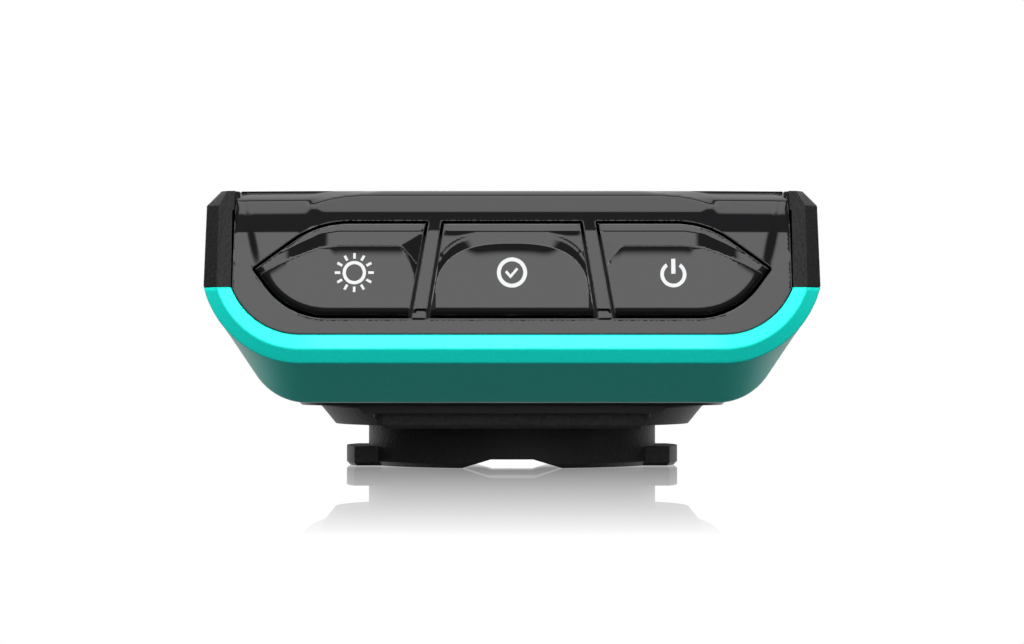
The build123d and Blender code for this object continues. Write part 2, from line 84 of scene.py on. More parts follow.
def onFace(x, z, depth=0.0):
    # points of the leaning face, or of a surface a depth behind it
    return np.stack([x, faceY(x, z) + depth, z], -1)


def newMesh(name, points, faces):
    # object from an array of points in millimetres and a list or array of faces
    mesh = bpy.data.meshes.new(name)
    mesh.from_pydata((np.asarray(points, float) * mm).tolist(), [], [list(map(int, f)) for f in faces])
    mesh.update()
    mesh.polygons.foreach_set("use_smooth", [True] * len(mesh.polygons))
    obj = bpy.data.objects.new(name, mesh)
    bpy.context.scene.collection.objects.link(obj)
    return obj


def gridFaces(rows, cols, closed=False, flip=False):
    # quads between neighbouring rows of a grid, with the last column joined to the first if closed
    r = np.arange(rows - 1)[:, None]
    c = np.arange(cols if closed else cols - 1)[None, :]
    d = (c + 1) % cols
    quads = np.stack([r * cols + c, r * cols + d, (r + 1) * cols + d, (r + 1) * cols + c], -1).reshape(-1, 4)
    return quads[:, ::-1] if flip else quads


def roundLoops(stations, radii, steps=4):
    # loops along a profile whose corners are rounded: each corner becomes a quadratic curve
    # between points a radius before and after it, with one more loop on each side to hold the flats
    loops = [stations[0]]
    for i in range(1, len(stations) - 1):
        before, here, after = stations[i - 1], stations[i], stations[i + 1]
        r = radii[i]
        if r <= 0:
            loops.append(here)
            continue
        back, ahead = before - here, after - here
        lenBack = np.linalg.norm(back, axis=-1, keepdims=True) + 1e-9
        lenAhead = np.linalg.norm(ahead, axis=-1, keepdims=True) + 1e-9
        a = here + back * np.minimum(r / lenBack, 0.4)
        b = here + ahead * np.minimum(r / lenAhead, 0.4)
        loops.append(here + back * np.minimum(1.25 * r / lenBack, 0.46))
        for t in np.linspace(0, 1, steps + 1):
            loops.append(a * (1 - t) ** 2 + 2 * here * t * (1 - t) + b * t ** 2)
        loops.append(here + ahead * np.minimum(1.25 * r / lenAhead, 0.46))
    loops.append(stations[-1])
    return np.array(loops)


def fixNormals(obj, weld=1e-6):
    # merge doubles, then point every face outwards
    bm = bmesh.new()
    bm.from_mesh(obj.data)
    bmesh.ops.remove_doubles(bm, verts=bm.verts, dist=weld)
    bmesh.ops.recalc_face_normals(bm, faces=bm.faces)
    bm.to_mesh(obj.data)
    bm.free()
    obj.data.update()


def place(obj, body, slot, *nodes):
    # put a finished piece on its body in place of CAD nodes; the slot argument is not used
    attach(obj, body)
    if nodes:
        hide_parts(*nodes)
    return obj


def nodeGroup(name, inputs, outputs):
    # empty shader group: inputs are (name, type, default), outputs are (name, type)
    group = bpy.data.node_groups.new(name, "ShaderNodeTree")
    for label, kind, value in inputs:
        socket = group.interface.new_socket(label, in_out="INPUT", socket_type=kind)
        if value is not None:
            socket.default_value = value
    for label, kind in outputs:
        group.interface.new_socket(label, in_out="OUTPUT", socket_type=kind)
    nodes = group.nodes
    return group, nodes.new("NodeGroupInput"), nodes.new("NodeGroupOutput")


def addNode(tree, kind, **settings):
    # new node with its properties set, and its inputs where a key starts with in_
    node = tree.nodes.new(kind)
    for key, value in settings.items():
        if key.startswith("in_"):
            node.inputs[key[3:].replace("_", " ")].default_value = value
        else:
            setattr(node, key, value)
    return node


def mathNode(tree, operation, a, b=None, c=None, clamp=False):
    # math node with each input linked to a socket or set to a number; returns its output
    node = tree.nodes.new("ShaderNodeMath")
    node.operation = operation
    node.use_clamp = clamp
    for slot, value in zip(node.inputs, (a, b, c)):
        if value is None:
            continue
        if isinstance(value, (int, float)):
            slot.default_value = value
        else:
            tree.links.new(value, slot)
    return node.outputs[0]


def grainGroup():
    # fine grain: noise at two scales on object coordinates, as a height and a mask
    number = "NodeSocketFloat"
    group, gin, gout = nodeGroup("fineGrain", [("Scale", number, 4000.0), ("Speck", number, 0.5)],
                                 [("Height", number), ("Mask", number)])
    coords = addNode(group, "ShaderNodeTexCoord")
    noise = addNode(group, "ShaderNodeTexNoise", in_Detail=3.0, in_Roughness=0.6)
    cells = addNode(group, "ShaderNodeTexVoronoi")
    group.links.new(coords.outputs["Object"], noise.inputs["Vector"])
    group.links.new(coords.outputs["Object"], cells.inputs["Vector"])
    group.links.new(gin.outputs["Scale"], noise.inputs["Scale"])
    group.links.new(mathNode(group, "MULTIPLY", gin.outputs["Scale"], 1.3), cells.inputs["Scale"])
    speck = mathNode(group, "MULTIPLY", cells.outputs["Distance"], gin.outputs["Speck"])
    height = mathNode(group, "ADD", noise.outputs["Fac"], speck)
    group.links.new(height, gout.inputs["Height"])
    mask = mathNode(group, "SMOOTH_MIN", noise.outputs["Fac"], cells.outputs["Distance"], 0.3)
    group.links.new(mask, gout.inputs["Mask"])
    return group


def wearGroup():
    # slow blotches, as handling and dust leave on a surface, from 0 to 1
    number = "NodeSocketFloat"
    group, gin, gout = nodeGroup("handling", [("Scale", number, 120.0), ("Spread", number, 0.5)],
                                 [("Mask", number)])
    coords = addNode(group, "ShaderNodeTexCoord")
    noise = addNode(group, "ShaderNodeTexNoise", in_Detail=5.0, in_Roughness=0.55)
    group.links.new(coords.outputs["Object"], noise.inputs["Vector"])
    group.links.new(gin.outputs["Scale"], noise.inputs["Scale"])
    low = mathNode(group, "SUBTRACT", noise.outputs["Fac"], 0.35)
    wide = mathNode(group, "DIVIDE", low, gin.outputs["Spread"], clamp=True)
    group.links.new(wide, gout.inputs["Mask"])
    return group


fineGrain = grainGroup()
handling = wearGroup()


def makeMaterial(name, color, roughness, metallic=0.0, coat=0.0, coatRough=0.05, specular=0.5,
                 grain=0.0, grainScale=4000.0, grainDepth=0.00002, speck=0.5, colorVary=0.06,
                 roughVary=0.06, wearScale=120.0):
    # Principled surface with grain as bump and colour flecks, and blotches in its roughness
    mat = bpy.data.materials.new(name)
    mat.use_nodes = True
    tree = mat.node_tree
    shader = tree.nodes["Principled BSDF"]
    shader.inputs["Metallic"].default_value = metallic
    shader.inputs["Coat Weight"].default_value = coat
    shader.inputs["Coat Roughness"].default_value = coatRough
    shader.inputs["Specular IOR Level"].default_value = specular
    fine = addNode(tree, "ShaderNodeGroup", node_tree=fineGrain)
    fine.inputs["Scale"].default_value = grainScale
    fine.inputs["Speck"].default_value = speck
    wear = addNode(tree, "ShaderNodeGroup", node_tree=handling)
    wear.inputs["Scale"].default_value = wearScale
    ramp = addNode(tree, "ShaderNodeMix", data_type="RGBA")
    low = [c * (1 - colorVary) for c in color] + [1]
    high = [min(1, c * (1 + colorVary)) for c in color] + [1]
    ramp.inputs["A"].default_value = low
    ramp.inputs["B"].default_value = high
    tree.links.new(fine.outputs["Mask"], ramp.inputs["Factor"])
    tree.links.new(ramp.outputs["Result"], shader.inputs["Base Color"])
    lowest = max(0.0, roughness - roughVary / 2)
    rough = mathNode(tree, "MULTIPLY_ADD", wear.outputs["Mask"], roughVary, lowest)
    tree.links.new(rough, shader.inputs["Roughness"])
    if grain > 0:
        bump = addNode(tree, "ShaderNodeBump", in_Strength=grain, in_Distance=grainDepth)
        tree.links.new(fine.outputs["Height"], bump.inputs["Height"])
        tree.links.new(bump.outputs["Normal"], shader.inputs["Normal"])
    return mat


materials = {
    "tealAlloy": makeMaterial("tealAlloy", (0.004, 0.50, 0.42), 0.40, metallic=0.1, specular=0.4,
                              grain=0.35, grainScale=3500, grainDepth=0.00003, speck=0.4, colorVary=0.12),
    "texturedBlack": makeMaterial("texturedBlack", (0.010, 0.010, 0.0105), 0.5, specular=0.25,
                                  grain=0.8, grainScale=2600, grainDepth=0.00006, speck=0.8, colorVary=0.25),
    "glossBlack": makeMaterial("glossBlack", (0.006, 0.006, 0.0065), 0.06, grain=0.02, grainScale=1500,
                               roughVary=0.03, colorVary=0.05),
    # lighter, rougher grey for rim faces and lit lines: a painted highlight
    "paintedHighlightGrey": makeMaterial("paintedHighlightGrey", (0.05, 0.05, 0.051), 0.3, grain=0.02, grainScale=1500),
    "whitePrint": makeMaterial("whitePrint", (0.42, 0.425, 0.43), 0.45, grain=0.1, grainScale=5000),
    "mountBlack": makeMaterial("mountBlack", (0.028, 0.028, 0.0285), 0.46, specular=0.12,
                               grain=0.6, grainScale=2600, grainDepth=0.00005, speck=0.8, colorVary=0.3),
    "coverRubber": makeMaterial("coverRubber", (0.042, 0.042, 0.043), 0.6, specular=0.2,
                                grain=0.9, grainScale=2600, grainDepth=0.00006, speck=0.9, colorVary=0.35),
    "basePlastic": makeMaterial("basePlastic", (0.03, 0.03, 0.031), 0.32, grain=0.2, grainScale=3000),
    "screenGlass": makeMaterial("screenGlass", (0.006, 0.006, 0.007), 0.04, coat=0.5, coatRough=0.02,
                                roughVary=0.02),
    "steel": makeMaterial("steel", (0.4, 0.4, 0.41), 0.35, metallic=1.0, grain=0.2),
    "circuitBoard": makeMaterial("circuitBoard", (0.015, 0.09, 0.04), 0.4, grain=0.2),
    "componentBlack": makeMaterial("componentBlack", (0.03, 0.03, 0.032), 0.5, grain=0.3),
    "ceramic": makeMaterial("ceramic", (0.62, 0.58, 0.48), 0.5, grain=0.2),
    "foil": makeMaterial("foil", (0.6, 0.61, 0.63), 0.4, metallic=0.8, grain=0.2),
    "wireRed": makeMaterial("wireRed", (0.45, 0.02, 0.02), 0.35, grain=0.1),
    "flexAmber": makeMaterial("flexAmber", (0.5, 0.22, 0.03), 0.35, grain=0.1),
    "softSeal": makeMaterial("softSeal", (0.05, 0.05, 0.055), 0.6, grain=0.3),
}
slotMaterials = {
    "teal_alloy": "tealAlloy", "textured_black": "texturedBlack", "gloss_black": "glossBlack",
    "white_print": "whitePrint", "screen_glass": "screenGlass", "base_plastic": "basePlastic",
    "mount_plastic": "mountBlack", "cover_rubber": "coverRubber", "seal_rubber": "softSeal",
    "adhesive": "softSeal", "screw_steel": "steel", "circuit_board": "circuitBoard",
    "component_black": "componentBlack", "shield_metal": "steel", "antenna_ceramic": "ceramic",
    "battery_foil": "foil", "wire_red": "wireRed", "flex_amber": "flexAmber", "display_grey": "screenGlass",
}
for part in frame["record"]["subparts"]:
    obj = frame["nodes"][part["node"]]
    chosen = materials[slotMaterials[part["material_slot"]]]
    if not obj.material_slots:
        obj.data.materials.append(chosen)
    for slot in obj.material_slots:
        slot.material = chosen
print("materials done")

endOutline = {
    "openX": 6.17, "openZ": 6.13,      # panel opening: corner radii across and down
    "facetX": 7.31, "facetZ": 7.31,    # outer edge of the flat facet
    "outerX": 8.40, "outerZ": 8.44,    # outer edge of the chamfer
    "bottomPoints": 14, "arcPoints": 30,
}
section = {
    "halfWidth": shellHigh[0], "bottomZ": shellLow[2], "kneeZ": 14.8, "kneeR": 3.0,
    "flankX": 5.74, "flankR": 5.0,     # flank foot, in from the side
    "flankPoints": 14, "kneePoints": 8, "flatInset": 0.4,
    "bellyY": -35.4, "rearY": shellHigh[1], "cornerR": 9.0, "rearLean": 8.0, "rearLift": 4.5,
}


def mirrored(points):
    # right half from the middle outwards, joined to its mirror image: left end first
    left = points[:0:-1] * np.array([-1, 1])
    return np.concatenate([left, points])


def endCurve(rx, rz):
    # flat bottom, then a quarter ellipse about the corner centre, stopped at the split
    n, m = endOutline["bottomPoints"], endOutline["arcPoints"]
    stop = np.arccos((face["cornerZ"] - face["splitZ"]) / rz)
    a = np.linspace(0, stop, m)
    across = np.linspace(0, face["cornerX"], n, endpoint=False)
    bottom = np.stack([across, np.full(n, face["cornerZ"] - rz)], -1)
    arc = np.stack([face["cornerX"] + rx * np.sin(a), face["cornerZ"] - rz * np.cos(a)], -1)
    return mirrored(np.concatenate([bottom, arc]))


def filletPolyline(points, radii, counts):
    # straight runs joined by tangent arcs; each corner gives its own number of points
    out = [points[0]]
    for i in range(1, len(points) - 1):
        p, here, q = (np.array(points[k], float) for k in (i - 1, i, i + 1))
        u, v = (p - here) / np.linalg.norm(p - here), (q - here) / np.linalg.norm(q - here)
        half = np.arccos(np.clip(u @ v, -1, 1)) / 2
        reach = radii[i] / tan(half)
        middle = here + (u + v) / np.linalg.norm(u + v) * radii[i] / sin(half)
        start, end = here + u * reach - middle, here + v * reach - middle
        turn = atan2(start[0] * end[1] - start[1] * end[0], start @ end)
        for a in np.linspace(0, turn, counts[i]):
            x, z = start[0] * cos(a) - start[1] * sin(a), start[0] * sin(a) + start[1] * cos(a)
            out.append(middle + np.array([x, z]))
    out.append(points[-1])
    return np.array(out, float)


def resample(points, count):
    # the same polyline with evenly spaced points
    step = np.r_[0, np.cumsum(np.linalg.norm(np.diff(points, axis=0), axis=1))]
    at = np.linspace(0, step[-1], count)
    return np.stack([np.interp(at, step, points[:, k]) for k in range(points.shape[1])], -1)


def sectionCurve():
    # flat underside, round foot, straight slanted flank, round knee and upright side, up to the split
    h, foot = section["halfWidth"], section["halfWidth"] - section["flankX"]
    flatEnd, low = face["cornerX"] - section["flatInset"], section["bottomZ"]
    flank = filletPolyline([(flatEnd, low), (foot, low), (h, section["kneeZ"]), (h, face["splitZ"])],
                           [0, section["flankR"], section["kneeR"], 0],
                           [0, section["flankPoints"], section["kneePoints"], 0])
    n = endOutline["bottomPoints"]
    bottom = np.stack([np.linspace(0, flatEnd, n, endpoint=False), np.full(n, low)], -1)
    return mirrored(np.concatenate([bottom, resample(flank, endOutline["arcPoints"])]))


def atDepth(curve, y):
    # outline in the xz plane set at one depth, or at a depth for each point
    return np.stack([curve[:, 0], np.broadcast_to(y, curve.shape[:1]), curve[:, 1]], -1)


def rearStation(curve, phi):
    # section drawn in round the rear corner: half width and depth follow a quarter circle,
    # and everything below the split is lifted in proportion
    r, rear = section["cornerR"], section["rearY"]
    h = section["halfWidth"]
    x = curve[:, 0] * (1 - r / h * (1 - cos(phi)))
    drop = face["splitZ"] - curve[:, 1]
    lift = 1 - section["rearLift"] / (face["splitZ"] - section["bottomZ"]) * (1 - cos(phi))
    z = face["splitZ"] - drop * lift
    y = rear - r + r * sin(phi) - (z - face["rimZ"]) * tan(radians(section["rearLean"])) * sin(phi)
    return np.stack([x, y, z], -1)


lowerShellPlan = {
    "lip": 1.4, "chamfer": 1.15, "bellyGap": 0.3,    # depths back from the opening, the facet and the chamfer
    "edgeRounds": [0, 0.1, 0.12, 0.14, 0.2],         # from the lip to the belly
    "cornerSteps": 9, "capInset": 0.35, "capRound": 0.9, "wall": 1.2,
}


def makeLowerShell():
    # outlines of the rider's end carried into the body's section and closed round the rear corner
    o, s = endOutline, lowerShellPlan
    opening = endCurve(o["openX"], o["openZ"])
    facet = endCurve(o["facetX"], o["facetZ"])
    outer = endCurve(o["outerX"], o["outerZ"])
    body = sectionCurve()
    openEdge = onFace(opening[:, 0], opening[:, 1])
    facetEdge = onFace(facet[:, 0], facet[:, 1])
    outerEdge = onFace(outer[:, 0], outer[:, 1], s["chamfer"])
    belly = atDepth(body, np.maximum(section["bellyY"], outerEdge[:, 1] + s["bellyGap"]))
    turns = [rearStation(body, a) for a in np.linspace(0, pi / 2, s["cornerSteps"])]
    flat = turns[-1].copy()
    flat[:, 2] = face["splitZ"]
    flat[:, 1] = turns[-1][:, 1].mean() - s["capInset"]
    stations = [openEdge + [0, s["lip"], 0], openEdge, facetEdge, outerEdge, belly] + turns + [flat]
    radii = s["edgeRounds"] + [0] * (s["cornerSteps"] - 1) + [s["capRound"], 0]
    loops = roundLoops(stations, radii)
    rows, cols = loops.shape[:2]
    obj = newMesh("lowerShell", loops.reshape(-1, 3), gridFaces(rows, cols, flip=True))
    thick = obj.modifiers.new("wall", "SOLIDIFY")
    thick.thickness = s["wall"] * mm
    thick.offset = -1
    thick.use_rim = True
    obj.data.materials.append(materials["tealAlloy"])
    return place(obj, "case", "teal_alloy", "lower_housing")


lowerShell = makeLowerShell()
print("lower shell done")

# two rails joined round the rear; insets run in from the side of the body
frameShape = {
    "draft": 0.15, "shoulderZ": 22.5, "topInset": 1.3, "rearTopInset": 0.6, "splitGap": 0.02,
    "pocketInset": 2.8, "pocketZ": 22.88, "ledgeInset": 4.2, "ledgeZ": 22.15, "wallInset": 2.35,
    "innerX": 23.05, "innerTopX": 22.91, "endX": 24.25, "endChamfer": 1.15, "browY": -34.4,
    "endDraft": 0.6, "endNarrow": 0.5, "endSlope": 0.7, "step": 0.15, "endRound": 0.12,
    "cornerSteps": 13, "leanFade": 0.4, "sharpAngle": 30,
    "rounds": [0.1, 0.25, 0.2, 0.12, 0.05, 0.1, 0.1, 0.1, 0.05],    # one for each corner of the profile
    "roundPoints": [4, 5, 5, 4, 3, 3, 3, 3, 3],
}


def frameProfile(topInset):
    # closed outline of a rail as inset from the side and height, with small round edges
    f, low, top = frameShape, face["splitZ"] + frameShape["splitGap"], bezelHigh[2]
    points = [(0.0, low), (f["draft"], f["shoulderZ"]), (topInset, top), (f["pocketInset"], top),
              (f["pocketInset"], f["pocketZ"]), (f["ledgeInset"], f["pocketZ"]), (f["ledgeInset"], f["ledgeZ"]),
              (f["wallInset"], f["ledgeZ"]), (f["wallInset"], low)]
    middle = (f["wallInset"] / 2, low)
    rounds, counts = [0] + f["rounds"] + [0], [0] + f["roundPoints"] + [0]
    return filletPolyline([middle] + points + [middle], rounds, counts)[:-1]


def makeTopFrame():
    # the profile is carried along one side, round the rear corner and back along the other side
    f, r, rear, h = frameShape, section["cornerR"], section["rearY"], section["halfWidth"]
    side, end = frameProfile(f["topInset"]), frameProfile(f["rearTopInset"])
    inset, z = side[:, 0], side[:, 1]
    low = np.clip((z - face["splitZ"]) / (f["shoulderZ"] - face["splitZ"]), 0, 1)
    inner = f["innerX"] - (f["innerX"] - f["innerTopX"]) * low
    wide = np.clip(h - inset, inner, None)
    above = np.maximum(0, z - f["shoulderZ"])
    narrow = np.minimum(wide, f["endX"] - f["draft"] * f["endDraft"] * low - above * f["endNarrow"])
    brow = above * f["endSlope"]
    stations = [np.stack([narrow, faceY(narrow, z) + brow, z], -1),
                np.stack([wide, faceY(np.minimum(wide, f["endX"]), z) + brow + f["endChamfer"], z], -1),
                np.stack([wide, z * 0 + f["browY"] - f["step"], z], -1),
                np.stack([h - inset, z * 0 + f["browY"], z], -1)]
    for phi in np.linspace(0, pi / 2, f["cornerSteps"]):
        w = sin(phi)
        now = side * (1 - w) + end * w
        lean = (now[:, 1] - face["rimZ"]) * tan(radians(section["rearLean"])) * w
        lean = lean * np.clip((f["pocketInset"] - now[:, 0]) / f["leanFade"], 0, 1)
        reach = r - now[:, 0]
        stations.append(np.stack([h - r + reach * cos(phi), rear - r + reach * w - lean, now[:, 1]], -1))
    loops = roundLoops(stations, [0, f["endRound"]] + [0] * (len(stations) - 2))
    mirror = loops[::-1] * np.array([-1, 1, 1])
    loops = np.concatenate([loops, mirror])
    rows, cols = loops.shape[:2]
    faces = gridFaces(rows, cols, closed=True).tolist()
    faces += [list(range(cols))[::-1], list(range((rows - 1) * cols, rows * cols))]
    obj = newMesh("topFrame", loops.reshape(-1, 3), faces)
    fixNormals(obj)
    obj.data.polygons.foreach_set("use_smooth", [True] * len(obj.data.polygons))
    obj.data.set_sharp_from_angle(angle=radians(f["sharpAngle"]))
    obj.data.materials.append(materials["texturedBlack"])
    return place(obj, "case", "textured_black", "top_bezel")


topFrame = makeTopFrame()
print("upper frame done")

slabMake = {
    "clear": 0.45,         # grid points stay this share of the spacing away from the lines
    # the second setting below is half the width of the band of faces painted as a highlight along a lit line
    "leastThick": 0.2, "paintedHighlightHalf": 0.035, "sharpAngle": 32, "far": 99.0, "weld": 1e-5,
}


def softRamp(t, r=0.06):
    # 0 below zero and t above it, with a bend of radius about r
    return (np.sqrt(t * t + r * r) + t) / 2


def offsetLoop(loop, inset):
    # each point moves along the mean of its two edge normals, lengthened to keep the distance
    ahead = np.roll(loop, -1, 0) - loop
    ahead /= np.linalg.norm(ahead, axis=1, keepdims=True)
    normal = np.stack([-ahead[:, 1], ahead[:, 0]], -1)
    before = np.roll(normal, 1, 0)
    spread = 1 + (normal * before).sum(1, keepdims=True)
    return loop + (normal + before) / np.maximum(spread, 0.5) * inset


def insideLoops(points, loops):
    # even-odd rule: an upward ray crosses the outlines an odd number of times
    odd = np.zeros(len(points), bool)
    for loop in loops:
        a, b = loop, np.roll(loop, -1, 0)
        crosses = (a[:, 0] > points[:, :1]) != (b[:, 0] > points[:, :1])
        run = np.where(a[:, 0] == b[:, 0], 1, b[:, 0] - a[:, 0])
        level = a[:, 1] + (points[:, :1] - a[:, 0]) * (b[:, 1] - a[:, 1]) / run
        odd ^= (crosses & (level > points[:, 1:])).sum(1) % 2 == 1
    return odd


def nearestDistance(points, lines):
    # distance from each point to the closest of the given points
    best = np.full(len(points), slabMake["far"])
    for line in lines:
        best = np.minimum(best, np.sqrt(((points[:, None] - line[None]) ** 2).sum(-1)).min(1))
    return best


def slabRegion(name, loops, spacing, depth, thick, bevel=0.0, drop=0.0, creases=(), limit=None, light=None):
    # outlines are filled with small triangles, lifted to their depth, and closed by walls and a back
    rings = [np.array(loop, float) for loop in loops]
    lines = list(rings)
    if bevel:
        lines += [offsetLoop(ring, bevel) for ring in rings]
    low, high = rings[0].min(0), rings[0].max(0)
    xs, zs = np.meshgrid(np.arange(low[0], high[0], spacing), np.arange(low[1], high[1], spacing))
    xs[1::2] += spacing / 2
    grid = np.stack([xs.ravel(), zs.ravel()], -1)
    grid = grid[insideLoops(grid, rings)]
    dense = [resample(np.concatenate([line, line[:1]]), max(8, len(line))) for line in lines]
    dense += [np.array(line, float) for line in creases]
    grid = grid[nearestDistance(grid, dense) > spacing * slabMake["clear"]] if len(grid) else grid
    points, edges = [], []
    for line in lines:
        start = len(points)
        points += line.tolist()
        edges += [(start + i, start + (i + 1) % len(line)) for i in range(len(line))]
    for line in creases:
        start = len(points)
        points += np.array(line, float).tolist()
        edges += [(start + i, start + i + 1) for i in range(len(line) - 1)]
    points += grid.tolist()
    made = delaunay_2d_cdt([Vector(p) for p in points], edges, [], 0, slabMake["weld"], False)
    flat = np.array([tuple(v) for v in made[0]])
    tris = np.array(made[2], int)
    tris = tris[insideLoops(flat[tris].mean(1), rings)]
    a, b, c = (flat[tris[:, k]] for k in range(3))
    area = (b[:, 0] - a[:, 0]) * (c[:, 1] - a[:, 1]) - (b[:, 1] - a[:, 1]) * (c[:, 0] - a[:, 0])
    tris = np.where((area < 0)[:, None], tris[:, ::-1], tris)[np.abs(area) > 1e-9]
    sides = np.concatenate([tris[:, [0, 1]], tris[:, [1, 2]], tris[:, [2, 0]]])
    # the outline's edges belong to one triangle only
    _, index, counts = np.unique(np.sort(sides, 1), axis=0, return_index=True, return_counts=True)
    rim = sides[index[counts == 1]]
    front = depth(flat[:, 0], flat[:, 1])
    onRim = np.zeros(len(flat), bool)
    onRim[rim.ravel()] = True
    rear = front + thick
    if limit is not None:
        rear = np.minimum(rear, np.maximum(limit(flat[:, 1]), front + slabMake["leastThick"]))
    front = front + onRim * drop
    n = len(flat)
    verts = np.concatenate([np.stack([flat[:, 0], y, flat[:, 1]], -1) for y in (front, rear)])
    walls = np.stack([rim[:, 1], rim[:, 0], rim[:, 0] + n, rim[:, 1] + n], -1)
    faces = tris.tolist() + (tris[:, ::-1] + n).tolist() + walls.tolist()
    obj = newMesh(name, verts, faces)
    # rim faces, and faces near the light line, take the second material, a lighter grey: a painted highlight
    edge = np.zeros(len(faces), int)
    if bevel:
        edge[:len(tris)] = onRim[tris].any(1)
        if light is not None:
            edge[:len(tris)] |= nearestDistance(flat[tris].mean(1), [light]) < slabMake["paintedHighlightHalf"]
        obj.data.polygons.foreach_set("material_index", edge)
    obj.data.set_sharp_from_angle(angle=radians(slabMake["sharpAngle"]))
    return obj


keyPlan = {
    "topZ": 21.2, "lowZ": 13.18, "midTop": 5.79, "midLow": 7.05, "inTop": 6.82, "inLow": 8.22,
    "tip": (21.4, 17.3), "shoulderX": 15.95, "heelX": 18.3, "shoulderR": 8.0, "heelR": 6.4, "gap": 0.25,
    "groove": 0.045, "grooveDepth": 0.06, "ridge": 0.02, "floor": 0.22, "fade": 0.85,
    "tipR": 0.25, "cornerR": 0.15, "spacing": 0.35,
    "pocketTopZ": 13.86, "pocketDepth": 0.45, "pocketMargin": 0.3, "pocketLift": 0.02,
}
browPlan = {
    "darkZ": 20.36, "greyZ": 21.85, "topZ": 23.42, "stripTopZ": 23.0, "endZ": 23.66, "hump": 0.09,
    "slopes": (0.25, 0.5, 1.6), "bends": (0.06, 0.05, 0.05),      # of the three strips, from below
    "noseX": 15.9, "noseZ": 22.5, "raise": 0.34, "noseWide": 1.3,
    "noseAbove": (2.5, 0.85), "noseBelow": (0.45, 0.65),          # how far the nose draws in, over what height
    "crownX": 13.4, "crownWide": 4.0,
    "creaseX": 20.95, "creaseZ": 20.2, "creaseLean": 0.22, "creaseDepth": 0.21, "creaseWide": 1.0,
    "creaseFootZ": 15.6, "creaseRise": 3.6,
}


def closedFillet(points, radii, counts):
    # rounded outline that starts and ends in the middle of its last edge
    middle = tuple((np.array(points[-1], float) + np.array(points[0], float)) / 2)
    corners = [middle] + list(points) + [middle]
    return filletPolyline(corners, [0] + list(radii) + [0], [0] + list(counts) + [0])[:-1]


def refined(loop, step):
    # long straight edges are divided, so that the outline has points at least every step
    out = []
    for p, q in zip(loop, np.roll(loop, -1, 0)):
        n = max(1, int(np.ceil(np.linalg.norm(q - p) / step)))
        out += [p + (q - p) * k / n for k in range(n)]
    return np.array(out)


def keyLoop(side, inset=0.0):
    # aperture outline, counterclockwise when seen by the rider; the left key mirrors the right one
    k = keyPlan
    if side == 0:
        points = [(-k["midLow"], k["lowZ"]), (k["midLow"], k["lowZ"]),
                  (k["midTop"], k["topZ"]), (-k["midTop"], k["topZ"])]
        loop = closedFillet(points, [k["cornerR"]] * 4, [4] * 4)
    else:
        points = [(k["inLow"], k["lowZ"]), (k["heelX"], k["lowZ"]), k["tip"],
                  (k["shoulderX"], k["topZ"]), (k["inTop"], k["topZ"])]
        radii = [k["cornerR"], k["heelR"], k["tipR"], k["shoulderR"], k["cornerR"]]
        loop = closedFillet(points, radii, [4, 22, 5, 16, 4])
    loop = refined(loop, k["spacing"])
    if side < 0:
        loop = loop[::-1] * np.array([-1, 1])
    return offsetLoop(loop, inset) if inset else loop


def browDepth(x, z):
    # the leaning face, then three steeper strips up to the top; the middle strip stands forward
    # between two curved shoulders
    b, ax = browPlan, np.abs(x)
    rise = np.maximum(z, b["greyZ"]) - b["noseZ"]
    above, below = (reach * (rise / height) ** 2 for reach, height in (b["noseAbove"], b["noseBelow"]))
    beside = smooth((ax - (b["noseX"] - np.where(rise > 0, above, below))) / b["noseWide"])
    crown = b["stripTopZ"] + (b["topZ"] - b["stripTopZ"]) * (1 - smooth((ax - b["crownX"]) / b["crownWide"]))
    feet = (b["darkZ"], b["greyZ"], crown)
    deep = sum(slope * softRamp(z - foot, bend) for slope, foot, bend in zip(b["slopes"], feet, b["bends"]))
    deep += b["raise"] * beside * np.clip((z - b["darkZ"]) / (b["greyZ"] - b["darkZ"]), 0, 1)
    crease = b["creaseX"] - b["creaseLean"] * (b["creaseZ"] - z)
    fold = smooth((ax - crease) / b["creaseWide"]) * smooth((z - b["creaseFootZ"]) / b["creaseRise"])
    return faceY(x, z) + deep + b["creaseDepth"] * fold


def panelDepth(x, z):
    # the face with a small recess at the foot of each divider
    ax, k = np.abs(x), keyPlan
    between = (ax > k["midLow"] - k["pocketMargin"]) & (ax < k["inLow"] + k["pocketMargin"])
    pocket = between & (z > k["lowZ"] + k["pocketLift"]) & (z < k["pocketTopZ"])
    return browDepth(x, z) + k["pocketDepth"] * pocket


panelPlan = {
    "cornerR": 6.15, "clearance": 0.07, "cornerPoints": 26, "spacing": 0.4,
    "sideX": 22.86, "sideZ": 22.5, "sideTopX": 22.84,
    "topX": 22.4, "topPoints": 60, "humpX": 18.2, "humpWide": 3.0,
    "thick": 1.3, "mesh": 0.19, "bevel": 0.09, "drop": 0.07,
    "thinAboveZ": 22.2, "thinRearY": -35.5,        # the top edge stays in front of the screen
}


def panelLoop():
    # round lower corners about the corner centres, slightly drafted sides, a raised middle of the top edge
    p, b = panelPlan, browPlan
    r = p["cornerR"] - p["clearance"]
    a = np.linspace(0, np.arccos((face["cornerZ"] - face["splitZ"]) / r), p["cornerPoints"])
    arc = np.stack([face["cornerX"] + r * np.sin(a), face["cornerZ"] - r * np.cos(a)], -1)
    side = [(p["sideX"], p["sideZ"]), (p["sideTopX"], b["endZ"])]
    xs = np.linspace(p["topX"], 0, p["topPoints"])
    top = np.stack([xs, b["endZ"] + b["hump"] * smooth((p["humpX"] - xs) / p["humpWide"])], -1)
    right = np.concatenate([arc, side, top])
    left = right[-2::-1] * np.array([-1, 1])
    return refined(np.concatenate([right, left]), p["spacing"])


